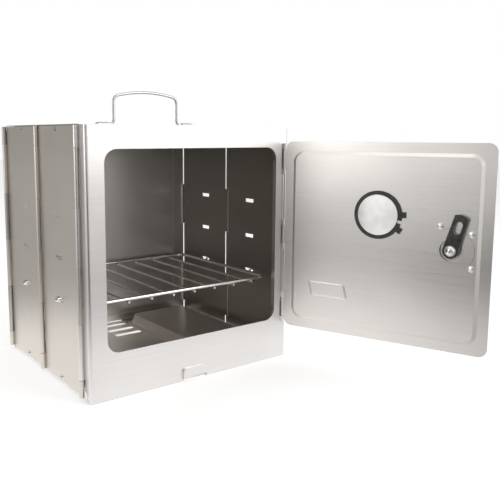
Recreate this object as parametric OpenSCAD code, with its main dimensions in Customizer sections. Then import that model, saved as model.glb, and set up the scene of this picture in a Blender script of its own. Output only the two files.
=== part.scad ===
/* [Shell] */
// Width across the front pan
box_w = 285; // [270:1:310]
// Depth from the front face to the back face
box_d = 248; // [238:1:262]
// Height of the front pan
box_h = 305; // [292:1:320]
// Thickness of the sheet steel
sheet = 0.8; // [0.6:0.1:1]
// Radius of the front pan's upright corners
pan_corner_r = 4; // [3:0.5:6]
// Distance from the front face to the front hinge axes
pan_depth = 17; // [15:0.5:20]
// Depth of the front pan's top and bottom flanges
pan_flange = 23; // [20:0.5:26]
// Clearance of the top flange from the front pan's sides, behind the hinges
flange_clear = 4; // [3:0.5:8]
// Depth of the front pan's foot flange
foot_flange = 12; // [9:0.5:14]
// Radius of the cut at the foot of the front pan's sides
foot_cut_r = 13; // [10:0.5:15]
// Space under the wall panels
wall_lift = 4.5; // [3:0.1:6]
// Space over the wall panels
wall_top_gap = 0.3; // [0.2:0.05:0.6]

/* [Wall hinges] */
// Outer radius of a rolled knuckle
knuckle_r = 3; // [2.8:0.1:3.4]
// Radius of an upright hinge pin
pin_r = 1.9; // [1.6:0.05:1.95]
// Play of a pin in its knuckles
pin_play = 0.08; // [0.04:0.01:0.1]
// Gap between two neighbouring knuckles
knuckle_gap = 0.5; // [0.3:0.05:0.8]
// Gap between a knuckle and the edge cut back for it
leaf_gap = 0.7; // [0.5:0.05:1]
// Length of the top knuckle of a wall hinge
top_knuckle = 24; // [18:1:30]
// Length of the bottom knuckle of a wall hinge
bottom_knuckle = 20; // [16:1:26]
// How far a pin ends short of its knuckles
pin_short = 0.6; // [0.4:0.1:2]

/* [Wall slots] */
// Distance of the slots from the middle hinge
slot_column = 53.5; // [48:0.5:58]
// Length of a rack slot
slot_w = 17; // [16:0.5:20]
// Height of a rack slot
slot_h = 5; // [4.6:0.1:6]
// Height of the lowest row of slots, at their middle
slot_z = 104; // [95:1:115]
// Distance from one row of slots to the next
slot_pitch = 49.8; // [45:0.1:54]
// Width of the notches for the lid's and floor's tabs
notch_w = 6; // [6:0.5:10]
// Depth of the notches at the top of the walls
notch_h = 5.5; // [5.5:0.5:8]
// Depth of the notches at the foot of the walls
notch_foot_h = 7.5; // [7.5:0.5:9]
// Width of a tab of the lid or floor
tab_w = 4; // [2:0.5:4]
// Length of the lid's tabs
tab_drop = 4.5; // [3:0.5:4.5]

/* [Doorway] */
// Border of the front at the latch side of the doorway
border_free = 22; // [16:0.5:24]
// Border of the front at the hinge side of the doorway
border_hinge = 20; // [18:0.5:24]
// Border over the doorway
border_top = 25.4; // [22:0.2:30]
// Border under the doorway
border_foot = 53.5; // [48:0.5:60]
// Radius of the doorway's corners
doorway_r = 15; // [11:0.5:20]
// Depth of the lip round the doorway
lip_depth = 2.4; // [1.6:0.1:2.8]
// Depth of the stiffer flange beside the hinge
hinge_flange = 6; // [4:0.5:8]

/* [Catch] */
// Middle of the floor catch, from the middle of the front
catch_x = -4.3; // [-30:0.1:30]
// Width of the catch
catch_w = 35.5; // [28:0.5:42]
// Height of the open notch under the catch
catch_notch = 3.4; // [3.2:0.1:4.6]
// Height of the pressed-out catch above its notch
catch_rise = 12.5; // [9:0.5:16]
// How far the catch is pressed out at its left end, from where it falls away to the right
catch_out = 2.6; // [1.6:0.1:3.4]
// Radius of its upper corners
catch_corner_r = 4; // [2:0.5:6]
// Clearance between the floor's tongue and the notch, each side
tongue_gap = 2; // [1.2:0.1:3]

/* [Door] */
// Angle that the door stands open
door_open = 111.5; // [100:0.5:125]
// Distance of the door hinge from the side of the front pan
door_hinge_inset = 7.3; // [6.4:0.1:9]
// Radius of the door's hinge knuckles
door_knuckle_r = 2; // [1.9:0.05:2.3]
// Radius of the door's hinge pin
door_pin_r = 1.15; // [1:0.05:1.2]
// Length of each of the door's three knuckles
door_knuckle_l = 24; // [20:1:28]
// Length of each loop on the front pan
door_loop_l = 7; // [5:0.5:9]
// How far the door covers the front round the doorway
door_lap = 2; // [2:0.5:6]
// How far the door covers the front over and under the doorway
door_lap_z = 7.8; // [5:0.2:9]
// Gap between the shut door and the front
door_gap = 0.35; // [0.3:0.05:0.6]
// Height of the door's raised field
field_rise = 3; // [2:0.2:3.4]
// Border of the door's raised field
field_border = 12; // [11:0.5:14]
// Clearance between the raised field's foot and the doorway beside the hinge
field_gap = 1.3; // [1:0.1:4]
// Radius of the raised field's corners
field_r = 14; // [10:0.5:16]
// Width of the slope round a raised field
field_slope = 4; // [3:0.5:6]
// Radius of the door's free corners
door_corner_r = 10; // [8:0.5:14]

/* [Latch] */
// Distance of the latch from the door's free edge
latch_inset = 44; // [43.5:0.5:44.5]
// Height of the latch
latch_z = 165.5; // [140:0.5:190]
// Length of the lever from its pivot to its tip
lever_l = 43.5; // [43:0.5:45]
// Width of the lever at its pivot
lever_w = 18; // [15:0.5:19]
// Width of the lever at its tip
lever_tip_w = 16; // [13:0.5:17]
// Thickness of the lever
lever_t = 2; // [1.5:0.1:2.4]
// Radius of the shallow arc at the lever's tip
lever_tip_r = 14; // [10:0.5:20]
// Lean of the lever from upright, towards the free edge
lever_lean = 15.5; // [10:0.5:30]
// Radius of the round recess behind the lever's pivot
recess_r = 12.8; // [12:0.1:14]
// Radius at which the three stop dimples lie
dimple_at = 30; // [28:0.5:31]
// Radius of a stop dimple
dimple_r = 3.8; // [3:0.1:4.2]
// Height of a stop dimple
dimple_h = 1; // [0.6:0.1:1.2]
// Radius of the latch shaft
shaft_r = 3; // [2.5:0.1:4]
// Play of the shaft in the door
shaft_play = 0.08; // [0.04:0.01:0.1]
// Gap between the door and the outer latch handle
turn_gap = 0.4; // [0.3:0.1:1]
// Length of the shaft inside the outer latch handle
turn_seat = 8; // [6:0.5:8.5]
// Length of the outer latch handle
turn_l = 44; // [36:1:50]

/* [Thermometer] */
// Distance of the thermometer from the door's hinge axis
thermo_at = 127.5; // [120:0.5:140]
// Height of the thermometer
thermo_z = 201; // [180:1:220]
// Radius of the thermometer's barrel
thermo_r = 24.2; // [22:0.1:27]
// Width of its outer rim
thermo_rim = 4; // [3:0.5:6]
// How far the thermometer stands out of the door's outer face
thermo_out = 7; // [5:0.5:9]
// How far its domed back stands in from the raised field
thermo_in = 7; // [5:0.5:9]
// Width of the spring clip round its back
clip_w = 4.5; // [2:0.1:5]

/* [Lid] */
// Gap between the wall panels and the lid
lid_gap = 0.3; // [0.2:0.05:0.6]
// Distance from the front face to the lid's front edge
lid_front = 15; // [12:0.5:18]
// Length of the five knuckles along the lid or floor hinge
long_knuckles = 260; // [240:2:264]
// Distance of the stiffening bead from the edges of lid and back
bead_inset = 16; // [12:0.5:20]
// Width of that bead
bead_w = 5; // [4:0.5:7]
// Depth of that bead
bead_h = 1.2; // [0.8:0.1:1.5]

/* [Carry handle] */
// Radius of the handle wire
wire_r = 1.75; // [1.5:0.05:2.2]
// Distance between the handle's legs
handle_w = 94.8; // [84:0.2:104]
// Height of the handle over its pivot axis
handle_h = 41.5; // [36:0.5:46]
// Rise of the bowed grip
grip_bow = 4; // [2:0.2:7]
// Radius of the bends under the grip
grip_bend_r = 9; // [7:0.5:12]
// Radius of the bends at the feet
foot_bend_r = 6; // [5:0.5:8]
// Distance of the handle from the middle of the box, to the right
handle_x = 3.5; // [-8:0.5:8]
// Distance of the handle from the middle of the box, towards the back
handle_y = 1; // [-8:0.5:8]
// Width of a handle strap
strap_w = 15; // [12:0.5:18]
// Length of the flat ear on each side of a strap
strap_ear = 8; // [7:0.5:10]
// Play of the handle wire in its straps
strap_play = 0.15; // [0.1:0.01:0.25]

/* [Floor] */
// Height of the floor panel's top face
floor_z = 9.8; // [9.4:0.1:11]
// Space between the floor and each side wall
floor_side = 6.7; // [6.5:0.1:9]
// Distance from the front face to the floor's front edge
floor_front = 18; // [16:0.5:22]
// Half width of the channel between the heat trays
channel_half = 28; // [24:0.5:34]
// Height of the heat trays
tray_h = 12.8; // [10:0.2:15]
// Distance from the front face to the heat trays
tray_front = 30; // [26:1:40]
// Distance from the back face to the heat trays
tray_back = 12; // [10.5:0.5:16]
// Length of a heat slot across the channel
vent_l = 44; // [36:1:46]
// Width of a heat slot
vent_w = 9; // [6:0.5:12]

/* [Rack] */
// Radius of the rack's frame wire
frame_wire_r = 2.2; // [2:0.1:2.5]
// Radius of the rack's cross wires
cross_wire_r = 1.5; // [1.2:0.1:1.8]
// Number of cross wires
cross_wires = 8; // [5:1:10]
// Space between the rack's side wires and the walls
rack_side = 6.5; // [6.4:0.1:9]
// Distance from the front face to the rack's front wire
rack_front = 32; // [30:0.5:40]
// Distance from the back face to the rack's back wire
rack_back = 9; // [8:0.5:14]
// Play of a lug in the height of its slot
lug_play = 0.15; // [0.1:0.05:0.3]
// Width of a lug
lug_w = 13; // [11:0.5:14]
// How far a lug reaches outside the wall
lug_out = 2.2; // [1.8:0.1:4]

/* [Hidden] */
$fn = 48;
eps = 0.01;

steel = "#c9c7c3";
bright = "#e0dfdc";
dark = "#3a3836";

front_y = -box_d / 2;
back_y = box_d / 2;
bore_r = pin_r + pin_play;
cut_back = knuckle_r + leaf_gap;
hinge_x = box_w / 2 - sheet + knuckle_r;
front_axis_y = front_y + pan_depth;
rear_axis_y = back_y - knuckle_r;
middle_axis_y = (front_axis_y + rear_axis_y) / 2;
wall_z1 = box_h - wall_top_gap;
middle_knuckle = (wall_z1 - wall_lift - top_knuckle - bottom_knuckle) / 4;
knuckle_z = [wall_lift, for (i = [0:4]) wall_lift + bottom_knuckle + i * middle_knuckle, wall_z1];

lid_z = box_h + lid_gap;
lid_axis_z = lid_z + sheet - knuckle_r;
floor_axis_z = floor_z - knuckle_r;
long_knuckle = long_knuckles / 5;

door_axis_x = box_w / 2 - door_hinge_inset;
door_axis_y = front_y - door_knuckle_r - 0.2;
door_in = door_knuckle_r + 0.2 - door_gap;
door_l = door_axis_x + box_w / 2 - border_free + door_lap;
door_z0 = border_foot - door_lap_z;
door_z1 = box_h - border_top + door_lap_z;
door_h = door_z1 - door_z0;
door_mid_z = (door_z0 + door_z1) / 2;
door_edge = door_knuckle_r + 0.8;
door_knuckle_z = [door_z0 + 23, door_mid_z, door_z1 - 23];
field_s0 = door_axis_x - box_w / 2 + border_hinge + field_gap;
field_s1 = door_l - field_border;
field_l = field_s1 - field_s0;
field_h = door_h - 2 * field_border;
field_mid = -(field_s0 + field_s1) / 2;
field_in = door_in + field_rise;

latch_at = door_l - latch_inset;
dimple_ball = (pow(dimple_r, 2) + pow(dimple_h, 2)) / (2 * dimple_h);
lever_in = field_in + dimple_h + 0.3;
clip_t = 1.6;

strap_in_r = wire_r + strap_play;
handle_z = lid_z + sheet + strap_in_r;
strap_x = handle_w / 2 + foot_bend_r + strap_w / 2 + 2;

lug_r = 1.6;
lug_z = slot_z - slot_h / 2 + lug_r + lug_play;
rack_z = lug_z - lug_r + frame_wire_r - 0.2;
rack_x = box_w / 2 - sheet - rack_side - frame_wire_r;
rack_y0 = front_y + rack_front;
rack_y1 = back_y - rack_back;
rack_bend_r = 12;

// Flat outline with rounded corners, centred
module rounded(w, h, r) {
    square([w - 2 * r, h], center = true);
    square([w, h - 2 * r], center = true);
    for (x = [-1, 1], y = [-1, 1]) translate([x * (w / 2 - r), y * (h / 2 - r)]) circle(r);
}

// Pressed field with sloping sides, standing on the plane z = 0
module pressed(w, h, r, rise, slope) {
    hull() {
        translate([0, 0, -eps]) linear_extrude(eps) rounded(w, h, r);
        translate([0, 0, rise - eps]) linear_extrude(eps)
            rounded(w - 2 * slope, h - 2 * slope, max(r - slope, 1));
    }
}

// Rectangular stiffening bead: a shallow channel pressed out of a sheet that lies on z = 0
module bead_ring(w, h, r, out) {
    linear_extrude(out) difference() {
        rounded(w, h, r);
        rounded(w - 2 * bead_w, h - 2 * bead_w, max(r - bead_w, 1));
    }
}

// The same sheet with the bead in it
module beaded_sheet(w, h, r) {
    difference() {
        union() {
            children();
            translate([0, 0, -bead_h]) bead_ring(w, h, r, bead_h + sheet);
        }
        translate([0, 0, -bead_h + sheet]) linear_extrude(bead_h + sheet) difference() {
            rounded(w - 2 * sheet, h - 2 * sheet, r - sheet);
            rounded(w - 2 * bead_w + 2 * sheet, h - 2 * bead_w + 2 * sheet, max(r - bead_w, 1));
        }
    }
}

// Upright tube at the origin with its bore
module tube(r, bore, z0, z1) {
    translate([0, 0, z0]) difference() {
        cylinder(r = r, h = z1 - z0);
        translate([0, 0, -1]) cylinder(r = bore, h = z1 - z0 + 2);
    }
}

// Knuckle number i of an upright wall hinge, with the leaf that joins it to its sheet
module wall_knuckle(i, x, y, leaf_x, leaf_y) {
    z0 = knuckle_z[i] + (i > 0 ? knuckle_gap / 2 : 0);
    z1 = knuckle_z[i + 1] - (i < 5 ? knuckle_gap / 2 : 0);
    translate([x, y]) tube(knuckle_r, bore_r, z0, z1);
    translate([min(leaf_x[0], leaf_x[1]), min(leaf_y[0], leaf_y[1]), z0])
        cube([abs(leaf_x[1] - leaf_x[0]), abs(leaf_y[1] - leaf_y[0]), z1 - z0]);
}

// Front pan: pressed tray with doorway, catch, front hinge knuckles and door hinge loops
module pan_plan(inset) {
    r = pan_corner_r - inset;
    w = box_w - 2 * inset;
    y0 = front_y + inset;
    translate([-w / 2 + r, y0]) square([w - 2 * r, pan_depth]);
    translate([-w / 2, y0 + r]) square([w, pan_depth - r]);
    for (s = [-1, 1]) translate([s * (w / 2 - r), y0 + r]) circle(r);
}

module doorway_plan(grow) {
    w = box_w - border_free - border_hinge;
    h = box_h - border_top - border_foot;
    translate([(border_free - border_hinge) / 2, border_foot + h / 2])
        rounded(w + 2 * grow, h + 2 * grow, doorway_r + grow);
}

module front_pan() color(bright) {
    side_end = front_axis_y - cut_back;
    difference() {
        union() {
            difference() {
                linear_extrude(box_h) intersection() {
                    pan_plan(0);
                    translate([-box_w, front_y - 1]) square([2 * box_w, side_end - front_y + 1]);
                }
                translate([0, 0, sheet]) linear_extrude(box_h - 2 * sheet) pan_plan(sheet);
                // the foot flange is shallower than the sides
                translate([-box_w / 2 + sheet, front_y + foot_flange, -1])
                    cube([box_w - 2 * sheet, pan_depth, 2]);
            }
            // the top flange reaches under the lid, clear of the walls
            translate([-box_w / 2 + flange_clear, front_y + pan_corner_r, box_h - sheet])
                cube([box_w - 2 * flange_clear, pan_flange - pan_corner_r, sheet]);
            // lip round the doorway, deeper and stiffer beside the door hinge
            translate([0, front_y + sheet, 0]) rotate([90, 0, 0]) translate([0, 0, -lip_depth])
                linear_extrude(lip_depth) difference() { doorway_plan(sheet); doorway_plan(0); }
            translate([box_w / 2 - border_hinge, front_y + sheet / 2, border_foot + doorway_r + 2])
                cube([sheet, hinge_flange, box_h - border_top - border_foot - 2 * doorway_r - 4]);
            catch_form(0);
            for (s = [-1, 1], i = [1, 3, 5])
                wall_knuckle(i, s * hinge_x, front_axis_y,
                    [s * box_w / 2, s * (box_w / 2 - sheet)], [side_end - eps, front_axis_y]);
            door_loops();
        }
        translate([0, front_y + 1, 0]) rotate([90, 0, 0]) linear_extrude(3) doorway_plan(0);
        // windows that let the door's knuckles through
        for (z = door_knuckle_z)
            translate([door_axis_x - door_knuckle_r - 1.2, front_y - 1, z - door_knuckle_l / 2 - 0.6])
                cube([2 * door_knuckle_r + 2.4, sheet + 2, door_knuckle_l + 1.2]);
        // rounded cut at the foot of each side flange
        for (x = [-box_w / 2 - 1, box_w / 2 - sheet - 1])
            translate([x, front_y + pan_corner_r + foot_cut_r, 0]) rotate([0, 90, 0])
                cylinder(r = foot_cut_r, h = sheet + 2);
        // the catch is hollow behind, over an open notch
        catch_form(sheet);
        translate([catch_x - catch_w / 2, front_y - catch_out - 1, -1])
            cube([catch_w, foot_flange + catch_out + 3, catch_notch + 1]);
    }
}

// Outline of the catch, seen from the front
module catch_plan(inset) {
    w = catch_w / 2 - inset;
    z0 = catch_notch - (inset > 0 ? 1 : 0);
    z1 = catch_notch + catch_rise - inset;
    r = catch_corner_r - inset;
    translate([-w, z0]) square([2 * w, z1 - r - z0]);
    translate([-w + r, z0]) square([2 * w - 2 * r, z1 - z0]);
    for (s = [-1, 1]) translate([s * (w - r), z1 - r]) circle(r);
}
// The catch is a wedge: proud at its left end and nearly flush at its right end
module catch_form(inset) intersection() {
    w = catch_w / 2 - inset;
    back = front_y + sheet + inset;
    translate([catch_x, back, 0]) rotate([90, 0, 0])
        linear_extrude(sheet + catch_out + inset) catch_plan(inset);
    linear_extrude(catch_notch + catch_rise) polygon([[catch_x - w, back + 1],
        [catch_x - w, front_y - catch_out + inset], [catch_x + w, front_y - 0.1 + inset],
        [catch_x + w, back + 1]]);
}

// Two loops on the pan beside each of the door's knuckles
module door_loops() {
    for (z = door_knuckle_z, s = [-1, 1]) {
        zc = z + s * (door_knuckle_l / 2 + 0.6 + door_loop_l / 2);
        translate([door_axis_x, door_axis_y])
            tube(door_knuckle_r, door_pin_r + pin_play, zc - door_loop_l / 2, zc + door_loop_l / 2);
        difference() {
            translate([door_axis_x - door_knuckle_r, door_axis_y, zc - door_loop_l / 2])
                cube([2 * door_knuckle_r, front_y - door_axis_y + sheet / 2, door_loop_l]);
            translate([door_axis_x, door_axis_y, zc - door_loop_l])
                cylinder(r = door_knuckle_r - eps, h = 2 * door_loop_l);
        }
    }
}

// Knuckles along the back, for the lid or the floor: owned says which of the five
module long_hinge(owned, z, leaf_y, leaf_z) {
    for (i = owned) {
        x0 = -long_knuckles / 2 + i * long_knuckle + (i > 0 ? knuckle_gap / 2 : 0);
        x1 = -long_knuckles / 2 + (i + 1) * long_knuckle - (i < 4 ? knuckle_gap / 2 : 0);
        translate([x0, rear_axis_y, z]) rotate([0, 90, 0]) tube(knuckle_r, bore_r, 0, x1 - x0);
        translate([x0, min(leaf_y[0], leaf_y[1]), min(leaf_z[0], leaf_z[1])])
            cube([x1 - x0, abs(leaf_y[1] - leaf_y[0]), abs(leaf_z[1] - leaf_z[0])]);
    }
}

module back_panel() color(steel) {
    plate_w = 2 * (hinge_x - cut_back);
    plate_z1 = lid_axis_z - cut_back;
    difference() {
        union() {
            translate([0, back_y - sheet, plate_z1 / 2]) rotate([-90, 0, 0])
                beaded_sheet(box_w - 2 * bead_inset, plate_z1 - 2 * bead_inset, 14)
                    translate([-plate_w / 2, -plate_z1 / 2]) cube([plate_w, plate_z1, sheet]);
            for (s = [-1, 1], i = [1, 3, 5])
                wall_knuckle(i, s * hinge_x, rear_axis_y,
                    [s * (plate_w / 2 - eps), s * hinge_x], [back_y, back_y - sheet]);
            long_hinge([1, 3], lid_axis_z, [back_y, back_y - sheet], [plate_z1 - eps, lid_axis_z]);
            long_hinge([1, 3], floor_axis_z, [back_y, back_y - sheet],
                [floor_axis_z, floor_axis_z + eps]);
        }
        // windows for the floor's own knuckles
        for (i = [0, 2, 4])
            translate([-long_knuckles / 2 + i * long_knuckle - knuckle_gap, back_y - sheet - 1,
                       floor_axis_z - cut_back])
                cube([long_knuckle + 2 * knuckle_gap, sheet + 2, 2 * cut_back]);
    }
}

// Wall panel between two upright hinges; own says which knuckles it carries at each end
module wall(s, y0, own0, y1, own1, slot_y) color(steel) {
    outer = s * box_w / 2;
    inner = s * (box_w / 2 - sheet);
    difference() {
        union() {
            translate([min(outer, inner), y0 + cut_back, wall_lift])
                cube([sheet, y1 - y0 - 2 * cut_back, wall_z1 - wall_lift]);
            for (i = own0)
                wall_knuckle(i, s * hinge_x, y0, [outer, inner], [y0, y0 + cut_back + eps]);
            for (i = own1)
                wall_knuckle(i, s * hinge_x, y1, [outer, inner], [y1 - cut_back - eps, y1]);
        }
        for (k = [0:2]) translate([min(outer, inner) - 1, slot_y - slot_w / 2,
                                   slot_z + k * slot_pitch - slot_h / 2])
            cube([sheet + 2, slot_w, slot_h]);
        translate([min(outer, inner) - 1, slot_y - notch_w / 2, wall_lift - 1])
            cube([sheet + 2, notch_w, notch_foot_h + 1]);
        translate([min(outer, inner) - 1, slot_y - notch_w / 2, wall_z1 - notch_h])
            cube([sheet + 2, notch_w, notch_h + 1]);
    }
}

module rear_wall(s) wall(s, middle_axis_y, [1, 3, 5],
    rear_axis_y, [0, 2, 4], middle_axis_y + slot_column);
module front_wall(s) wall(s, front_axis_y, [0, 2, 4],
    middle_axis_y, [0, 2, 4], middle_axis_y - slot_column);

module upright_pin(s, y) color(dark) translate([s * hinge_x, y, wall_lift + pin_short])
    cylinder(r = pin_r, h = wall_z1 - wall_lift - 2 * pin_short);
module long_pin(z) color(dark) translate([-long_knuckles / 2 + pin_short, rear_axis_y, z])
    rotate([0, 90, 0]) cylinder(r = pin_r, h = long_knuckles - 2 * pin_short);

// Lid: flat sheet with a pressed bead, five-knuckle hinge and four tabs that drop into the walls
module lid() color(steel) {
    y0 = front_y + lid_front;
    y1 = rear_axis_y - cut_back;
    half = box_w / 2;
    difference() {
        union() {
            translate([0, (y0 + y1) / 2, lid_z])
                beaded_sheet(box_w - 2 * bead_inset, y1 - y0 - 2 * bead_inset, 14)
                    translate([-half, (y0 - y1) / 2]) cube([2 * half, y1 - y0, sheet]);
            long_hinge([0, 2, 4], lid_axis_z, [y1 - eps, rear_axis_y], [lid_z, lid_z + sheet]);
            for (s = [-1, 1], c = [-1, 1])
                translate([s > 0 ? half - sheet : -half,
                           middle_axis_y + c * slot_column - tab_w / 2, lid_z - tab_drop])
                    cube([sheet, tab_w, tab_drop + sheet]);
        }
    }
}

// Floor: sheet with a centre channel, two tray openings, heat slots, side tabs and a tongue
module floor_panel() color(steel) {
    y0 = front_y + floor_front;
    y1 = rear_axis_y - cut_back;
    half = box_w / 2 - sheet - floor_side;
    zb = floor_z - sheet;
    tongue_w = catch_w - 2 * tongue_gap;
    tongue_z = catch_notch / 2 - sheet / 2;
    difference() {
        union() {
            translate([-half, y0, zb]) cube([2 * half, y1 - y0, sheet]);
            long_hinge([0, 2, 4], floor_axis_z, [y1 - eps, rear_axis_y], [zb, floor_z]);
            for (s = [-1, 1], c = [-1, 1])
                translate([s > 0 ? half - eps : -half - floor_side - sheet - 2,
                           middle_axis_y + c * slot_column - tab_w / 2, zb])
                    cube([floor_side + sheet + 2 + eps, tab_w, sheet]);
            translate([catch_x - tongue_w / 2, y0, tongue_z]) cube([tongue_w, sheet, zb - tongue_z + eps]);
            translate([catch_x - tongue_w / 2, front_y + sheet, tongue_z])
                cube([tongue_w, y0 - front_y, sheet]);
        }
        for (s = [-1, 1]) translate([s * tray_mid_x(), tray_mid_y(), zb - 1])
            linear_extrude(sheet + 2) rounded(tray_l() - 16, tray_d() - 16, 8);
        for (y = vent_y()) translate([0, y, zb - 1])
            linear_extrude(sheet + 2) rounded(vent_l, vent_w, 2);
    }
}

function tray_out() = box_w / 2 - sheet - floor_side - 4;
function tray_l() = tray_out() - channel_half;
function tray_mid_x() = (tray_out() + channel_half) / 2;
function tray_y0() = front_y + tray_front;
function tray_y1() = back_y - tray_back;
function tray_d() = tray_y1() - tray_y0();
function tray_mid_y() = (tray_y0() + tray_y1()) / 2;
function vent_y() = [for (e = [0, 1], k = [0:2])
    e == 0 ? tray_y0() + 8 + k * 2.6 * vent_w : tray_y1() - 8 - k * 2.6 * vent_w];

// Heat tray: pressed cover with rounded shoulders over one opening of the floor
module heat_tray(s) color(steel) translate([s * tray_mid_x(), tray_mid_y(), floor_z]) {
    w = tray_l();
    d = tray_d();
    difference() {
        union() {
            linear_extrude(sheet) rounded(w, d, 12);
            intersection() {
                pressed(w - 6, d - 6, 12, tray_h, 5);
                linear_extrude(tray_h) square([w, d], center = true);
            }
        }
        translate([0, 0, -1]) pressed(w - 6 - 2 * sheet, d - 6 - 2 * sheet, 11, tray_h + 1 - sheet, 5);
    }
}

// Everything on the door is drawn shut, with the hinge axis at the origin, and then swung open
module on_door() translate([door_axis_x, door_axis_y]) rotate([0, 0, door_open]) children();
// Lays a flat drawing (x, z) on the door's inner side at depth y
module on_face(x, z, y) translate([x, y, z]) rotate([-90, 0, 0]) children();

module door() color(bright) on_door() {
    plate_mid = -(door_l + door_edge) / 2;
    difference() {
        union() {
            difference() {
                union() {
                    on_face(plate_mid, door_mid_z, door_in - sheet) linear_extrude(sheet)
                        rounded(door_l - door_edge, door_h, door_corner_r);
                    on_face(field_mid, door_mid_z, door_in - eps)
                        pressed(field_l, field_h, field_r, field_rise, field_slope);
                    for (a = [-24, 48, 129]) on_face(-latch_at - dimple_at * sin(a),
                            latch_z + dimple_at * cos(a), field_in + dimple_h - dimple_ball)
                        intersection() {
                            sphere(r = dimple_ball);
                            translate([0, 0, dimple_ball - dimple_h - 0.4]) cylinder(r = dimple_r + 2, h = dimple_h + 1);
                        }
                }
                on_face(field_mid, door_mid_z, door_in - sheet - 1)
                    pressed(field_l - 2 * sheet, field_h - 2 * sheet, field_r - sheet, field_rise + 1, field_slope);
                on_face(-latch_at, latch_z, door_in) cylinder(r = recess_r, h = field_rise + 4);
            }
            on_face(-latch_at, latch_z, door_in - sheet) cylinder(r = recess_r, h = sheet);
            on_face(-latch_at, latch_z, door_in - sheet)
                difference() {
                    cylinder(r = recess_r + sheet, h = field_rise + sheet);
                    translate([0, 0, -1]) cylinder(r = recess_r, h = field_rise + sheet + 2);
                }
            for (z = door_knuckle_z) {
                tube(door_knuckle_r, door_pin_r + pin_play, z - door_knuckle_l / 2, z + door_knuckle_l / 2);
                translate([-door_edge - 6, door_in - sheet, z - door_knuckle_l / 2])
                    cube([door_edge + 6, sheet, door_knuckle_l]);
            }
        }
        on_face(-latch_at, latch_z, -20) cylinder(r = shaft_r + shaft_play, h = 60);
        on_face(-thermo_at, thermo_z, -20) cylinder(r = thermo_r + 0.2, h = 60);
        for (z = door_knuckle_z) cylinder(r = door_pin_r + pin_play, h = 2 * box_h);
    }
}

module door_pin() color(dark) translate([door_axis_x, door_axis_y]) {
    z0 = door_knuckle_z[0] - door_knuckle_l / 2 - door_loop_l - 1.5;
    z1 = door_knuckle_z[2] + door_knuckle_l / 2 + door_loop_l + 1.5;
    translate([0, 0, z0]) cylinder(r = door_pin_r, h = z1 - z0);
}

// Latch, drawn round its own pivot
module on_latch() on_door() translate([-latch_at, 0, latch_z]) rotate([0, -lever_lean, 0]) children();

module latch_lever() color(dark) on_latch() translate([0, lever_in, 0]) rotate([-90, 0, 0])
    difference() {
        union() {
            cylinder(r = lever_w / 2, h = lever_t);
            linear_extrude(lever_t) intersection() {
                polygon([[-lever_w / 2, 0], [lever_w / 2, 0], [lever_tip_w / 2, -lever_l], [-lever_tip_w / 2, -lever_l]]);
                union() {
                    translate([0, lever_tip_r - lever_l]) circle(lever_tip_r, $fn = 96);
                    translate([-lever_w, lever_tip_r - lever_l]) square([2 * lever_w, lever_l]);
                }
            }
            // hub that reaches down into the recess
            translate([0, 0, -(lever_in - door_in) + 0.3]) cylinder(r = shaft_r + 3.5, h = lever_in - door_in);
        }
        translate([0, 0, -20]) cylinder(r = shaft_r + 0.05, h = 40);
        // thumb slot
        translate([0, -lever_l + 15.5, -1]) linear_extrude(lever_t + 2) rounded(7.5, 14, 3.7);
    }

turn_y = door_in - sheet - turn_gap;
module latch_shaft() color(steel) on_latch() translate([0, turn_y - turn_seat, 0]) rotate([-90, 0, 0])
    cylinder(r = shaft_r, h = turn_seat - turn_y + lever_in + lever_t);
module latch_washer() color(bright) on_latch() translate([0, lever_in + lever_t, 0]) rotate([-90, 0, 0])
    difference() {
        cylinder(r = 6.3, h = 1);
        translate([0, 0, -1]) cylinder(r = 1.9, h = 3);
    }
module latch_screw() color(bright) on_latch() translate([0, lever_in + lever_t + 1, 0]) rotate([-90, 0, 0])
    difference() {
        union() {
            intersection() {
                translate([0, 0, -4.6]) sphere(r = 7);
                cylinder(r = 5.2, h = 3);
            }
            translate([0, 0, -1]) cylinder(r = 1.7, h = 1.1);
        }
        for (a = [0, 90]) rotate(a) translate([-2.9, -0.55, 1]) cube([5.8, 1.1, 3]);
    }
// Outer handle: hub and tapered grip with a rounded end
module latch_handle() color(dark) on_latch() translate([0, turn_y, 0]) rotate([90, 0, 0])
    difference() {
        union() {
            cylinder(r = 10, h = 5);
            cylinder(r = 7, h = 9);
            hull() {
                translate([0, 0, 3]) cylinder(r = 6, h = 7, $fn = 32);
                translate([0, turn_l - 5, 5]) cylinder(r = 5, h = 4, $fn = 32);
            }
        }
        translate([0, 0, -1]) cylinder(r = shaft_r + 0.05, h = 1 + turn_seat + 0.1);
    }

// Thermometer, drawn round its own axis with +z out of the door's outer face
module on_thermo() on_door() translate([-thermo_at, door_in - sheet, thermo_z]) rotate([90, 0, 0]) children();
thermo_back = -(sheet + field_rise + thermo_in);

module thermometer_case() color(bright) on_thermo() difference() {
    union() {
        translate([0, 0, thermo_back + 5]) cylinder(r = thermo_r, h = thermo_out - thermo_back - 5);
        translate([0, 0, thermo_back + 5]) intersection() {
            translate([0, 0, 60]) sphere(r = 65, $fn = 96);
            translate([0, 0, -5]) cylinder(r = thermo_r, h = 5.01);
        }
        translate([0, 0, 0.3]) cylinder(r = thermo_r + thermo_rim, h = thermo_out - 0.3);
    }
    translate([0, 0, thermo_back + 6.5]) cylinder(r = thermo_r - 1.2, h = 40);
    translate([0, 0, thermo_out - 2.2]) cylinder(r = thermo_r + thermo_rim - 1.6, h = 3);
}
module thermometer_glass() color("#dfe8ea", 0.5) on_thermo() translate([0, 0, thermo_out - 2])
    cylinder(r = thermo_r + thermo_rim - 1.8, h = 1.4);
module dial() color("white") on_thermo() translate([0, 0, 1.2]) difference() {
    cylinder(r = thermo_r - 1.4, h = 0.6);
    translate([0, 0, -1]) cylinder(r = 0.78, h = 3);
}
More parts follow.
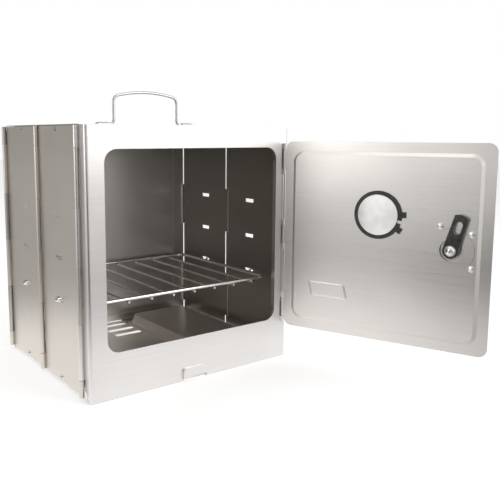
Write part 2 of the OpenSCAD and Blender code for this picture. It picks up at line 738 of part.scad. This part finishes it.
module pointer() color("black") on_thermo() translate([0, 0, 2.6]) rotate([0, 0, 135]) {
    cylinder(r = 2.2, h = 0.8);
    linear_extrude(0.6) polygon([[-1, -6], [1, -6], [0.4, thermo_r - 6], [-0.4, thermo_r - 6]]);
    translate([0, 0, -6.5]) cylinder(r = 0.7, h = 6.51);
}
// Bimetal coil: flat spiral band of a few turns, fixed to the back of the case
coil_turns = 3;
coil_r0 = 4;
coil_pitch = 3;
function coil_pt(r, a) = [r * cos(a), r * sin(a)];
module bimetal_coil() color("#b08d57") on_thermo() translate([0, 0, thermo_back + 6.9]) {
    linear_extrude(4) polygon(concat(
        [for (k = [0:12 * coil_turns]) coil_pt(coil_r0 + coil_pitch * k / 12, 30 * k)],
        [for (k = [12 * coil_turns:-1:0]) coil_pt(coil_r0 + 0.7 + coil_pitch * k / 12, 30 * k)]));
    translate([coil_r0 + coil_pitch * coil_turns - 1, -1.5, -0.3]) cube([3, 3, 4.3]);
}
module thermometer_clip() color(dark) on_thermo() translate([0, 0, -(sheet + field_rise) - 0.1]) rotate([180, 0, 0])
    difference() {
        union() {
            cylinder(r = thermo_r + 0.3 + clip_w, h = clip_t);
            for (a = [3, -33]) rotate(a) translate([-thermo_r - clip_w - 5, -3.5, 0]) cube([9, 7, clip_t]);
        }
        translate([0, 0, -1]) cylinder(r = thermo_r + 0.3, h = clip_t + 2);
        rotate(-15) translate([-thermo_r - 14, -2, -1]) cube([18, 4, clip_t + 2]);
    }

// Carry handle: one wire with a bowed grip, two legs and two feet that turn under the straps
module bend(r, a0, a1, w = wire_r) rotate([0, 0, a0]) rotate_extrude(angle = a1 - a0)
    translate([r, 0]) circle(w, $fn = 24);
module carry_handle() color(dark) translate([handle_x, handle_y, handle_z]) rotate([90, 0, 0]) {
    hw = handle_w / 2;
    bow_r = (pow(hw - grip_bend_r, 2) + pow(grip_bow, 2)) / (2 * grip_bow);
    bow_z = handle_h - bow_r;
    b = asin((hw - grip_bend_r) / (bow_r - grip_bend_r));
    bend_z = bow_z + (bow_r - grip_bend_r) * cos(b);
    translate([0, bow_z]) bend(bow_r, 90 - b, 90 + b, wire_r + eps);
    for (s = [-1, 1]) {
        translate([s * (hw - grip_bend_r), bend_z])
            bend(grip_bend_r, s > 0 ? 0 : 90 + b, s > 0 ? 90 - b : 180);
        translate([s * hw, foot_bend_r - eps]) rotate([-90, 0, 0])
            cylinder(r = wire_r + eps, h = bend_z - foot_bend_r + 2 * eps, $fn = 24);
        translate([s * (hw + foot_bend_r), foot_bend_r])
            bend(foot_bend_r, s > 0 ? 180 : 270, s > 0 ? 270 : 360);
        translate([s > 0 ? hw + foot_bend_r - eps : -hw - foot_bend_r - strap_w - 4, 0])
            rotate([0, 90, 0]) cylinder(r = wire_r + eps, h = strap_w + 4 + eps, $fn = 24);
    }
}
module handle_straps() color(dark) for (s = [-1, 1])
    translate([handle_x + s * strap_x - strap_w / 2, handle_y, 0])
    difference() {
        union() {
            translate([0, -strap_in_r - strap_ear, lid_z + sheet]) cube([strap_w, 2 * (strap_in_r + strap_ear), sheet]);
            translate([0, 0, handle_z]) rotate([0, 90, 0]) cylinder(r = strap_in_r + sheet, h = strap_w);
            translate([0, -strap_in_r - sheet, lid_z + sheet])
                cube([strap_w, 2 * (strap_in_r + sheet), handle_z - lid_z - sheet]);
        }
        translate([-1, 0, handle_z]) rotate([0, 90, 0]) cylinder(r = strap_in_r, h = strap_w + 2);
        translate([-1, -strap_in_r, lid_z]) cube([strap_w + 2, 2 * strap_in_r, handle_z - lid_z]);
        translate([-1, -box_d, lid_z - 10]) cube([strap_w + 2, 2 * box_d, 10 + sheet]);
    }
module strap_rivets() color(bright)
    for (s = [-1, 1], e = [-1, 1]) translate([handle_x + s * strap_x, handle_y + e * (strap_in_r + strap_ear / 2 + 1), lid_z + 2 * sheet])
        intersection() {
            translate([0, 0, -1.4]) sphere(r = 2.6);
            cylinder(r = 2.2, h = 2);
        }

// Rack: wire frame with eight cross wires under it and a lug through each of four wall slots
module rack_bend(r, wr, a0) rotate([0, 0, a0]) rotate_extrude(angle = 90) translate([r, 0]) circle(wr, $fn = 24);
module oven_rack() color(bright) {
    w = rack_x;
    for (y = [rack_y0, rack_y1]) translate([-w + rack_bend_r, y, rack_z]) rotate([0, 90, 0])
        cylinder(r = frame_wire_r, h = 2 * (w - rack_bend_r), $fn = 24);
    for (s = [-1, 1]) translate([s * w, rack_y0 + rack_bend_r, rack_z]) rotate([-90, 0, 0])
        cylinder(r = frame_wire_r, h = rack_y1 - rack_y0 - 2 * rack_bend_r, $fn = 24);
    for (s = [0, 1], e = [0, 1])
        translate([s ? rack_bend_r - w : w - rack_bend_r, e ? rack_y0 + rack_bend_r : rack_y1 - rack_bend_r, rack_z])
            rack_bend(rack_bend_r, frame_wire_r, s ? (e ? 180 : 90) : (e ? 270 : 0));
    pitch = 2 * w / (cross_wires + 0.6);
    for (i = [0:cross_wires - 1])
        translate([(i - (cross_wires - 1) / 2) * pitch, rack_y0 - frame_wire_r - 0.8,
                   rack_z - frame_wire_r - cross_wire_r + 0.3])
            rotate([-90, 0, 0]) cylinder(r = cross_wire_r, h = rack_y1 - rack_y0 + frame_wire_r + 0.8, $fn = 20);
    for (s = [-1, 1], c = [-1, 1]) translate([0, middle_axis_y + c * slot_column, lug_z]) {
        out = box_w / 2 + lug_out + lug_r;
        for (e = [-1, 1]) translate([s > 0 ? w : -out + 3, e * (lug_w / 2 - lug_r), 0]) rotate([0, 90, 0])
            cylinder(r = lug_r, h = out - w - 3, $fn = 20);
        for (e = [-1, 1]) translate([s * (out - 3), e * (lug_w / 2 - lug_r - 3), 0])
            rotate([0, 0, s > 0 ? (e > 0 ? 0 : -90) : (e > 0 ? 90 : 180)]) rotate_extrude(angle = 90)
                translate([3, 0]) circle(lug_r, $fn = 20);
        translate([s * out, -(lug_w / 2 - lug_r - 3), 0]) rotate([-90, 0, 0])
            cylinder(r = lug_r, h = lug_w - 2 * lug_r - 6, $fn = 20);
    }
}

front_pan();
back_panel();
rear_wall(-1);  // left_rear_wall
front_wall(-1);  // left_front_wall
rear_wall(1);  // right_rear_wall
front_wall(1);  // right_front_wall
upright_pin(-1, rear_axis_y);  // left_rear_pin
upright_pin(-1, middle_axis_y);  // left_middle_pin
upright_pin(-1, front_axis_y);  // left_front_pin
upright_pin(1, rear_axis_y);  // right_rear_pin
upright_pin(1, middle_axis_y);  // right_middle_pin
upright_pin(1, front_axis_y);  // right_front_pin
lid();
long_pin(lid_axis_z);  // lid_pin
floor_panel();
long_pin(floor_axis_z);  // floor_pin
heat_tray(-1);  // left_heat_tray
heat_tray(1);  // right_heat_tray
door();
door_pin();
latch_lever();
latch_shaft();
latch_washer();
latch_screw();
latch_handle();
thermometer_case();
thermometer_glass();
dial();
pointer();
bimetal_coil();
thermometer_clip();
carry_handle();
handle_straps();
strap_rivets();
oven_rack();
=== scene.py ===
import math

import bpy
from mathutils import Matrix, Vector


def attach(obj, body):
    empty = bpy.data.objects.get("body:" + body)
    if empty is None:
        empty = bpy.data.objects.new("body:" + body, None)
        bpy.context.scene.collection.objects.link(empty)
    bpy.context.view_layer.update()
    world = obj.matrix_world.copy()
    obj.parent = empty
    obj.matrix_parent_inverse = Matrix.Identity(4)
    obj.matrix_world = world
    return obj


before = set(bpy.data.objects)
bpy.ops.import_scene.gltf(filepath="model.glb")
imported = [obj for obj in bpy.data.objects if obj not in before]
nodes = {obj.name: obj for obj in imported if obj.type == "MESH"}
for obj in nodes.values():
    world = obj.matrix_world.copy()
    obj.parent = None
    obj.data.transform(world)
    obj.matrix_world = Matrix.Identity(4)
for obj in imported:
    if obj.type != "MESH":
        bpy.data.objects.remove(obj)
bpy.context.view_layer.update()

scene = bpy.context.scene


# The oven is seen from the front left, a little under the height of its lid, with a
# short telephoto lens whose centre lies slightly left of and above the picture's centre.
def turned(degrees, axis):
    return Matrix.Rotation(math.radians(degrees), 4, axis)


camera_at = (-0.4310, -0.7514, 0.2942)
heading, pitch, roll = -36.84, -7.552, -0.244
camera_data = bpy.data.cameras.new("oven_camera")
camera_data.sensor_width = 36.0
camera_data.lens = 46.53
camera_data.shift_x = 0.0517
camera_data.shift_y = -0.0574
camera = bpy.data.objects.new("oven_camera", camera_data)
scene.collection.objects.link(camera)
look = turned(heading, "Z") @ turned(pitch, "X") @ turned(roll, "Y") @ turned(90, "X")
camera.matrix_world = Matrix.Translation(camera_at) @ look
scene.camera = camera


# A pale sweep of floor under a white room. The room is greyer behind the oven and at the front
# left, and the floor has a painted glow, brightest close by and far off, with a painted dim patch
# at the front left; the bare steel shows all of this in its reflections.
# Three soft boxes light the oven: front right, left and overhead.
def into(tree, socket, source):
    # a source is another node's socket or a plain value
    if isinstance(source, bpy.types.NodeSocket):
        tree.links.new(source, socket)
    else:
        socket.default_value = source


def arithmetic(tree, operation, *sources):
    node = tree.nodes.new("ShaderNodeMath")
    node.operation = operation
    for socket, source in zip(node.inputs, sources):
        into(tree, socket, source)
    return node.outputs[0]


def vectors(tree, operation, *sources):
    node = tree.nodes.new("ShaderNodeVectorMath")
    node.operation = operation
    for socket, source in zip(node.inputs, sources):
        into(tree, socket, source)
    return node.outputs["Value" if operation in ("DOT_PRODUCT", "LENGTH") else "Vector"]


def graded(tree, source, start, end, low, high, ease="LINEAR"):
    node = tree.nodes.new("ShaderNodeMapRange")
    node.interpolation_type = ease
    into(tree, node.inputs["Value"], source)
    node.inputs["From Min"].default_value = start
    node.inputs["From Max"].default_value = end
    node.inputs["To Min"].default_value = low
    node.inputs["To Max"].default_value = high
    return node.outputs[0]


def towards(tree, direction, aim, start, end, low, high):
    # changes from low to high as the direction turns towards the aim
    return graded(tree, vectors(tree, "DOT_PRODUCT", direction, aim), start, end, low, high, "SMOOTHSTEP")


def either(tree, choice, first, second, kind="Mix"):
    node = tree.nodes.new("ShaderNode" + kind)
    into(tree, node.inputs[0], choice)
    slots = (node.inputs["A"], node.inputs["B"]) if kind == "Mix" else (node.inputs[1], node.inputs[2])
    into(tree, slots[0], first)
    into(tree, slots[1], second)
    return node.outputs[0]


def sky(colour, strength):
    node = room.nodes.new("ShaderNodeBackground")
    node.inputs["Color"].default_value = colour
    into(room, node.inputs["Strength"], strength)
    return node.outputs[0]


white = (1.0, 1.0, 1.0, 1.0)
warm_white = (1.0, 0.995, 0.985, 1.0)
scene.view_settings.view_transform = "Standard"
world = bpy.data.worlds.new("white_room")
scene.world = world
world.use_nodes = True
room = world.node_tree
room.nodes.clear()
ray = room.nodes.new("ShaderNodeLightPath").outputs
direction = room.nodes.new("ShaderNodeTexCoord").outputs["Generated"]
grey_behind = towards(room, direction, (0.10, 0.995, 0.0), 0.15, 0.75, 1.05, 0.36)
grey_left = towards(room, direction, (-0.80, -0.60, 0.0), 0.78, 0.95, 1.0, 0.45)
mirrored = sky(warm_white, arithmetic(room, "MULTIPLY", grey_behind, grey_left))
lighting = either(room, ray["Is Glossy Ray"], sky(warm_white, 0.50), mirrored, "MixShader")
seen = arithmetic(room, "MAXIMUM", ray["Is Camera Ray"], ray["Is Transmission Ray"])
room_surface = room.nodes.new("ShaderNodeOutputWorld").inputs["Surface"]
into(room, room_surface, either(room, seen, lighting, sky(white, 1.0), "MixShader"))


def soft_box(name, at, look_at, size, power):
    data = bpy.data.lights.new(name, "AREA")
    data.shape = "RECTANGLE"
    data.size, data.size_y = size
    data.energy = power
    lamp = bpy.data.objects.new(name, data)
    scene.collection.objects.link(lamp)
    lamp.location = at
    lamp.rotation_euler = (Vector(look_at) - Vector(at)).to_track_quat("-Z", "Y").to_euler()


soft_box("front_right_box", (1.1, -1.7, 0.9), (0.0, -0.12, 0.15), (1.2, 1.2), 14)
soft_box("left_box", (-2.0, 0.15, 0.62), (0.15, -0.2, 0.25), (0.9, 0.9), 6)
soft_box("top_box", (0.1, 0.2, 1.9), (0.0, 0.0, 0.3), (1.4, 1.4), 5)

paper_tone, paper_tone_mirrored, paper_lift = 0.86, 0.35, 0.45
bpy.ops.object.select_all(action="DESELECT")
bpy.ops.mesh.primitive_plane_add(size=14.0, location=(0, 0, 0))
floor = bpy.context.object
floor.name = "studio_floor"
floor_paper = bpy.data.materials.new("studio_floor_paper")
floor_paper.use_nodes = True
paper = floor_paper.node_tree
paper.nodes.clear()
ray = paper.nodes.new("ShaderNodeLightPath").outputs
spot = paper.nodes.new("ShaderNodeTexCoord").outputs["Object"]
away = vectors(paper, "LENGTH", spot)
direction = vectors(paper, "NORMALIZE", spot)
# painted light: for glossy rays the floor glows brightest close by and far off
close_by = graded(paper, away, 0.22, 0.55, 1.0, 0.30, "SMOOTHSTEP")
far_off = graded(paper, away, 1.3, 3.5, 0.0, 0.95, "SMOOTHSTEP")
not_behind = towards(paper, direction, (-0.36, 0.93, 0.0), 0.40, 0.95, 1.0, 0.1)
# painted shade: a dim patch is painted into the floor's glow at the front left, from this far out
painted_dim_patch = towards(paper, direction, (-0.62, -0.785, 0.0), 0.89, 0.99, 0.0, 1.0)
patch_ring = graded(paper, away, 0.40, 0.65, 0.0, -1.0, "SMOOTHSTEP")
dimmed = arithmetic(paper, "MULTIPLY_ADD", painted_dim_patch, patch_ring, 1.0)
spread = arithmetic(paper, "MULTIPLY_ADD", far_off, not_behind, close_by)
painted_floor_glow = arithmetic(paper, "MULTIPLY", spread, dimmed)
matt = paper.nodes.new("ShaderNodeBsdfDiffuse")
matt_mirrored = arithmetic(paper, "MULTIPLY", dimmed, paper_tone_mirrored)
into(paper, matt.inputs["Color"], either(paper, ray["Is Glossy Ray"], paper_tone, matt_mirrored))
lift = paper.nodes.new("ShaderNodeEmission")
lift.inputs["Color"].default_value = white
into(paper, lift.inputs["Strength"], either(paper, ray["Is Glossy Ray"], paper_lift, painted_floor_glow))
lifted = paper.nodes.new("ShaderNodeAddShader")
into(paper, lifted.inputs[0], matt.outputs[0])
into(paper, lifted.inputs[1], lift.outputs[0])
seen = arithmetic(paper, "MAXIMUM", ray["Is Camera Ray"], ray["Is Glossy Ray"])
seen = arithmetic(paper, "MAXIMUM", seen, ray["Is Transmission Ray"])
paper_surface = paper.nodes.new("ShaderNodeOutputMaterial").inputs["Surface"]
into(paper, paper_surface, either(paper, seen, matt.outputs[0], lifted.outputs[0], "MixShader"))
floor.data.materials.append(floor_paper)


# A tray pressed from thin bright steel sheet, brushed level, with the doorway cut out of it
# and its rim turned in. The catch for the floor is pressed out over a notch in its foot.
def dress(node, material):
    mesh = nodes[node].data
    mesh.materials.clear()
    mesh.materials.append(material)


def new_finish(name, metal):
    material = bpy.data.materials.new(name)
    material.use_nodes = True
    shader = material.node_tree.nodes["Principled BSDF"]
    shader.inputs["Metallic"].default_value = metal
    return material, material.node_tree, shader


def noise(tree, vector, scale, detail, rough=0.5):
    node = tree.nodes.new("ShaderNodeTexNoise")
    into(tree, node.inputs["Vector"], vector)
    node.inputs["Scale"].default_value = scale
    node.inputs["Detail"].default_value = detail
    node.inputs["Roughness"].default_value = rough
    return node.outputs["Fac"]


def tinted(tree, colour, tone):
    node = tree.nodes.new("ShaderNodeVectorMath")
    node.operation = "SCALE"
    node.inputs[0].default_value = colour
    into(tree, node.inputs["Scale"], tone)
    return node.outputs[0]


def rounded_edges(tree, radius):
    node = tree.nodes.new("ShaderNodeBevel")
    node.samples = 4
    node.inputs["Radius"].default_value = radius
    return node.outputs[0]


def bumped(tree, height, strength, distance, normal):
    node = tree.nodes.new("ShaderNodeBump")
    node.inputs["Strength"].default_value = strength
    node.inputs["Distance"].default_value = distance
    into(tree, node.inputs["Height"], height)
    into(tree, node.inputs["Normal"], normal)
    return node.outputs[0]


def painted_shade_inside(tree, coord, tone, inside, inner_shade):
    # painted shade: the inner face, nearer to the oven's middle than inside says, is painted darker as
    # the shade inside the oven
    axis, sheet_middle = inside
    split = tree.nodes.new("ShaderNodeSeparateXYZ")
    into(tree, split.inputs[0], coord)
    out_from_middle = arithmetic(tree, "ABSOLUTE", split.outputs[axis])
    inner = arithmetic(tree, "LESS_THAN", out_from_middle, sheet_middle)
    return arithmetic(tree, "MULTIPLY", tone, graded(tree, inner, 0.0, 1.0, 1.0, inner_shade))


def brushed_sheet(name, colour, rough, along="X", turn_z=0.0, inside=None, inner_shade=1.0):
    grain_long, grain_fine = 12, 1400
    grain = {"X": (grain_long, grain_fine, grain_fine), "Y": (grain_fine, grain_long, grain_fine)}[along]
    streak, smear = 0.05, 0.03
    material, tree, shader = new_finish(name, 1.0)
    coord = tree.nodes.new("ShaderNodeTexCoord").outputs["Object"]
    mapping = tree.nodes.new("ShaderNodeMapping")
    mapping.vector_type = "TEXTURE"
    mapping.inputs["Rotation"].default_value = (0, 0, turn_z)
    into(tree, mapping.inputs["Vector"], coord)
    place = mapping.outputs[0]
    fine = noise(tree, vectors(tree, "MULTIPLY", place, grain), 1.0, 4.0, 0.7)
    broad = noise(tree, place, 9.0, 3.0)
    streaks = graded(tree, fine, 0.3, 0.7, 1.0 - streak, 1.0 + streak)
    smears = graded(tree, broad, 0.3, 0.7, 1.0 - smear, 1.0 + smear)
    tone = arithmetic(tree, "MULTIPLY", streaks, smears)
    if inside:
        tone = painted_shade_inside(tree, coord, tone, inside, inner_shade)
    into(tree, shader.inputs["Base Color"], tinted(tree, colour, tone))
    into(tree, shader.inputs["Roughness"], graded(tree, fine, 0.25, 0.75, rough - 0.04, rough + 0.06))
    # thin sheet is never quite flat: its reflections swim a little
    swim = bumped(tree, noise(tree, place, 7.0, 1.0), 1.0, 0.0018, rounded_edges(tree, 0.0005))
    into(tree, shader.inputs["Normal"], bumped(tree, fine, 0.10, 0.0001, swim))
    shader.inputs["Anisotropic"].default_value = 0.35
    return material


dress("front_pan", brushed_sheet("brushed_pan_steel", (0.685, 0.66, 0.645), 0.32))

# Four panels of the same sheet, rolled into knuckles along their upright edges. Slots for the
# rack and notches for the lid and the floor are punched through them.
# the walls' inner faces get painted shade
wall_steel = brushed_sheet("brushed_wall_steel", (0.62, 0.58, 0.53), 0.34, "Y",
                           inside=("X", 0.1421), inner_shade=0.66)
for wall in ("left_rear_wall", "left_front_wall", "right_rear_wall", "right_front_wall"):
    dress(wall, wall_steel)

# Flat sheets stiffened by a pressed bead, with rolled knuckles along each hinge. The back panel
# carries the rear walls, the lid and the floor.
# the inner faces of the back panel and the lid get painted shade
dress("back_panel", brushed_sheet("brushed_back_steel", (0.62, 0.585, 0.555), 0.32,
                                  inside=("Y", 0.1236), inner_shade=0.76))
dress("lid", brushed_sheet("brushed_lid_steel", (0.67, 0.645, 0.62), 0.34,
                           inside=("Z", 0.3057), inner_shade=0.7))


# Drawn steel wire, cut a little shorter than its row of knuckles and left plain. One pin joins
# each pair of panels.
def plain_metal(name, colour, rough, vary=0.06, scale=120.0, bump_by=0.05, edge_r=0.0003,
                metal=1.0, edge_glint=None):
    material, tree, shader = new_finish(name, metal)
    coord = tree.nodes.new("ShaderNodeTexCoord").outputs["Object"]
    grit = noise(tree, coord, scale, 5.0)
    paint = tinted(tree, colour, graded(tree, grit, 0.3, 0.7, 1.0 - vary, 1.0 + vary))
    gloss = graded(tree, grit, 0.0, 1.0, max(rough - 0.06, 0.03), rough + 0.06)
    into(tree, shader.inputs["Roughness"], gloss)
    edges = rounded_edges(tree, edge_r)
    into(tree, shader.inputs["Normal"], bumped(tree, grit, bump_by, 0.0001, edges))
    if edge_glint:
        # painted highlight: the edges are painted bright, as if they caught the light
        flat = tree.nodes.new("ShaderNodeNewGeometry").outputs["Normal"]
        glint_edges = graded(tree, vectors(tree, "DOT_PRODUCT", edges, flat), 0.99, 0.85, 0.0, 1.0)
        mix = tree.nodes.new("ShaderNodeMix")
        mix.data_type = "RGBA"
        into(tree, mix.inputs["Factor"], glint_edges)
        into(tree, mix.inputs["A"], paint)
        into(tree, mix.inputs["B"], edge_glint)
        paint = mix.outputs["Result"]
    into(tree, shader.inputs["Base Color"], paint)
    return material


pin_steel = plain_metal("drawn_pin_steel", (0.42, 0.41, 0.40), 0.3)
for pin in ("left_rear_pin", "left_middle_pin", "left_front_pin", "right_rear_pin", "right_middle_pin",
            "right_front_pin", "lid_pin", "floor_pin", "door_pin"):
    dress(pin, pin_steel)

# Bent from plated wire, with two steel straps riveted over its feet on the lid, so that it
# folds down both ways.
wire_chrome = plain_metal("plated_wire", (0.42, 0.415, 0.41), 0.10, 0.04)
dress("carry_handle", wire_chrome)
dress("handle_straps", plain_metal("strap_steel", (0.42, 0.415, 0.41), 0.32))
dress("strap_rivets", wire_chrome)

# The floor is a flat sheet with heat slots in its centre channel. Two pressed trays cover its
# openings and spread the heat of the stove.
floor_steel = brushed_sheet("brushed_floor_steel", (0.80, 0.765, 0.735), 0.32)
for sheet in ("floor_panel", "left_heat_tray", "right_heat_tray"):
    dress(sheet, floor_steel)

# Thick wire bent to a frame, with thinner cross wires and four lugs welded under it, and
# plated bright.
dress("oven_rack", plain_metal("plated_rack_wire", (0.70, 0.695, 0.69), 0.18, 0.05))

# Pressed from the same sheet as the pan, with a raised field, a round recess for the latch,
# three stop dimples and a bare raised plate. The lever has scratched a thin arc round its
# pivot.
door_hinge = Vector((0.1352, -0.1262, 0.0))
door_open = 111.5
door_place = Matrix.Translation(door_hinge) @ turned(door_open, "Z")
field_face = 0.00485
latch_along, latch_up = 0.2137, 0.1655
door_steel = brushed_sheet("brushed_door_steel", (0.68, 0.65, 0.62), 0.30, "X", math.radians(door_open))
dress("door", door_steel)


def on_door(piece, along, out, up, facing=-90):
    # along is counted from the hinge axis, and out from it towards the inside of the shut oven;
    # the piece's own +z then looks inside, or outside with a facing of 90
    place = door_place @ Matrix.Translation((-along, out, up)) @ turned(facing, "X")
    piece.data.transform(place @ piece.matrix_world)
    piece.matrix_world = Matrix.Identity(4)
    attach(piece, "door")


def pick_vertices(piece, wanted):
    bpy.ops.object.mode_set(mode="EDIT")
    bpy.ops.mesh.select_all(action="DESELECT")
    bpy.ops.object.mode_set(mode="OBJECT")
    for vertex in piece.data.vertices:
        vertex.select = wanted(vertex.co)
    bpy.ops.object.mode_set(mode="EDIT")


plate_l, plate_h, plate_corner = 0.048, 0.019, 0.0028
plate_lean = 0.0022
plate_sunk, plate_rise = 0.0002, 0.0007
rim_slope, rim_top, rim_crown, rim_drop = 0.0006, 0.0008, 0.0002, 0.0005
bpy.ops.object.select_all(action="DESELECT")
bpy.ops.mesh.primitive_plane_add(size=1, location=(0, 0, -plate_sunk))
plate = bpy.context.object
plate.name = "bare_pressed_plate"
plate.scale = (plate_l, plate_h, 1)
bpy.ops.object.transform_apply(location=True, rotation=True, scale=True)
for side in (-1, 1):
    pick_vertices(plate, lambda co: co.y * side > 0)
    bpy.ops.transform.translate(value=(-plate_lean * side, 0, 0))
bpy.ops.mesh.select_all(action="SELECT")
bpy.ops.mesh.bevel(offset=plate_corner, offset_type="OFFSET", segments=5, affect="VERTICES")
bpy.ops.mesh.select_all(action="SELECT")
bpy.ops.mesh.extrude_region_move(TRANSFORM_OT_translate={"value": (0, 0, plate_rise)})
bpy.ops.mesh.inset(thickness=rim_slope)
bpy.ops.transform.translate(value=(0, 0, rim_crown))
bpy.ops.mesh.inset(thickness=rim_top)
bpy.ops.mesh.inset(thickness=rim_slope)
bpy.ops.transform.translate(value=(0, 0, -rim_drop))
bpy.ops.object.mode_set(mode="OBJECT")
bpy.ops.object.shade_smooth_by_angle(angle=math.radians(20))
plate.data.materials.append(door_steel)
on_door(plate, 0.0652, field_face, 0.1005)

wear_r, scratch_r = 0.0256, 0.00018
wear_start, wear_end = -24, 124
bpy.ops.object.select_all(action="DESELECT")
bpy.ops.mesh.primitive_torus_add(major_radius=wear_r, minor_radius=scratch_r,
                                 major_segments=180, minor_segments=6)
wear = bpy.context.object
wear.name = "latch_wear_line"
pick_vertices(wear, lambda co: not wear_start < math.degrees(math.atan2(-co.x, -co.y)) < wear_end)
bpy.ops.mesh.delete(type="VERT")
bpy.ops.mesh.select_all(action="SELECT")
bpy.ops.mesh.select_non_manifold()
bpy.ops.mesh.fill_holes(sides=0)
bpy.ops.object.mode_set(mode="OBJECT")
wear.data.materials.append(plain_metal("scratched_steel", (0.22, 0.21, 0.20), 0.4))
on_door(wear, latch_along, field_face, latch_up)

# A stamped lever of blackened steel on a short shaft, with a washer and a cross-head screw
# inside, and a cast handle outside. The lever's edges carry a painted highlight.
black_steel = plain_metal("blackened_steel", (0.075, 0.072, 0.07), 0.30, 0.25, 160.0, 0.15, 0.0007,
                          edge_glint=(0.80, 0.79, 0.78, 1))
dress("latch_lever", black_steel)
dress("latch_handle", black_steel)
dress("latch_shaft", pin_steel)
screw_steel = plain_metal("screw_steel", (0.75, 0.75, 0.74), 0.18)
dress("latch_washer", screw_steel)
dress("latch_screw", screw_steel)

# A drawn can of bright steel with a domed back, held by a dark spring clip. The spindle's end
# shows at the middle of the dome. The dial, the pointer and the glass face outwards.
dial_along, dial_up = 0.1275, 0.201
dress("thermometer_clip", plain_metal("blued_spring_steel", (0.06, 0.058, 0.056), 0.36, 0.2))
can_steel = plain_metal("bright_can_steel", (0.93, 0.925, 0.915), 0.64)
dress("thermometer_case", can_steel)
to_door = door_place.inverted()
dome_top = max((to_door @ vertex.co).y for vertex in nodes["thermometer_case"].data.vertices)
bpy.ops.object.select_all(action="DESELECT")
bpy.ops.mesh.primitive_cylinder_add(vertices=32, radius=0.0019, depth=0.0010)
stake = bpy.context.object
stake.name = "spindle_stake"
bpy.ops.object.shade_smooth_by_angle(angle=math.radians(30))
stake.data.materials.append(can_steel)
on_door(stake, dial_along, dome_top, dial_up)
dress("dial", plain_metal("dial_white", (0.8, 0.8, 0.78), 0.5, metal=0.0))
dress("pointer", plain_metal("pointer_red", (0.5, 0.03, 0.02), 0.4, metal=0.0))
dress("bimetal_coil", plain_metal("bimetal_brass", (0.55, 0.42, 0.25), 0.35))

ink_out = -0.00081
dial_start, dial_sweep = 225, 270
tick_count, ticks_to_a_number = 21, 5
tick_r, tick_thick = 0.0203, 0.00012
numbers = ("100", "200", "300", "400", "500")
number_r, number_size = 0.0150, 0.0052
dial_ink = plain_metal("dial_ink", (0.02, 0.02, 0.02), 0.55, 0.15, metal=0.0)


def round_dial(share, radius):
    angle = math.radians(dial_start - dial_sweep * share)
    return angle, (radius * math.cos(angle), radius * math.sin(angle), 0)


def print_on_dial(piece):
    piece.data.materials.append(dial_ink)
    bpy.ops.object.transform_apply(location=True, rotation=True, scale=True)
    on_door(piece, dial_along, ink_out, dial_up, 90)


bpy.ops.object.select_all(action="DESELECT")
for step in range(tick_count):
    angle, at = round_dial(step / (tick_count - 1), tick_r)
    length, width = (0.0030, 0.0006) if step % ticks_to_a_number == 0 else (0.0017, 0.0003)
    bpy.ops.mesh.primitive_cube_add(size=1, location=at, rotation=(0, 0, angle),
                                    scale=(length, width, tick_thick))
    tick = bpy.context.object
    tick.name = "dial_tick_%02d" % step
    print_on_dial(tick)
for step, number in enumerate(numbers):
    angle, at = round_dial(step / (len(numbers) - 1), number_r)
    bpy.ops.object.text_add(location=at)
    numeral = bpy.context.object
    numeral.name = "dial_number_" + number
    numeral.data.body = number
    numeral.data.size = number_size
    numeral.data.extrude = 0.00005
    numeral.data.resolution_u = 3
    numeral.data.align_x = "CENTER"
    numeral.data.align_y = "CENTER"
    bpy.ops.object.select_all(action="DESELECT")
    numeral.select_set(True)
    bpy.context.view_layer.objects.active = numeral
    bpy.ops.object.convert(target="MESH")
    print_on_dial(bpy.context.object)

glass = bpy.data.materials.new("window_glass")
glass.use_nodes = True
glass_shader = glass.node_tree.nodes["Principled BSDF"]
glass_shader.inputs["Base Color"].default_value = (0.97, 0.99, 0.99, 1)
glass_shader.inputs["Roughness"].default_value = 0.02
glass_shader.inputs["Transmission Weight"].default_value = 1.0
dress("thermometer_glass", glass)
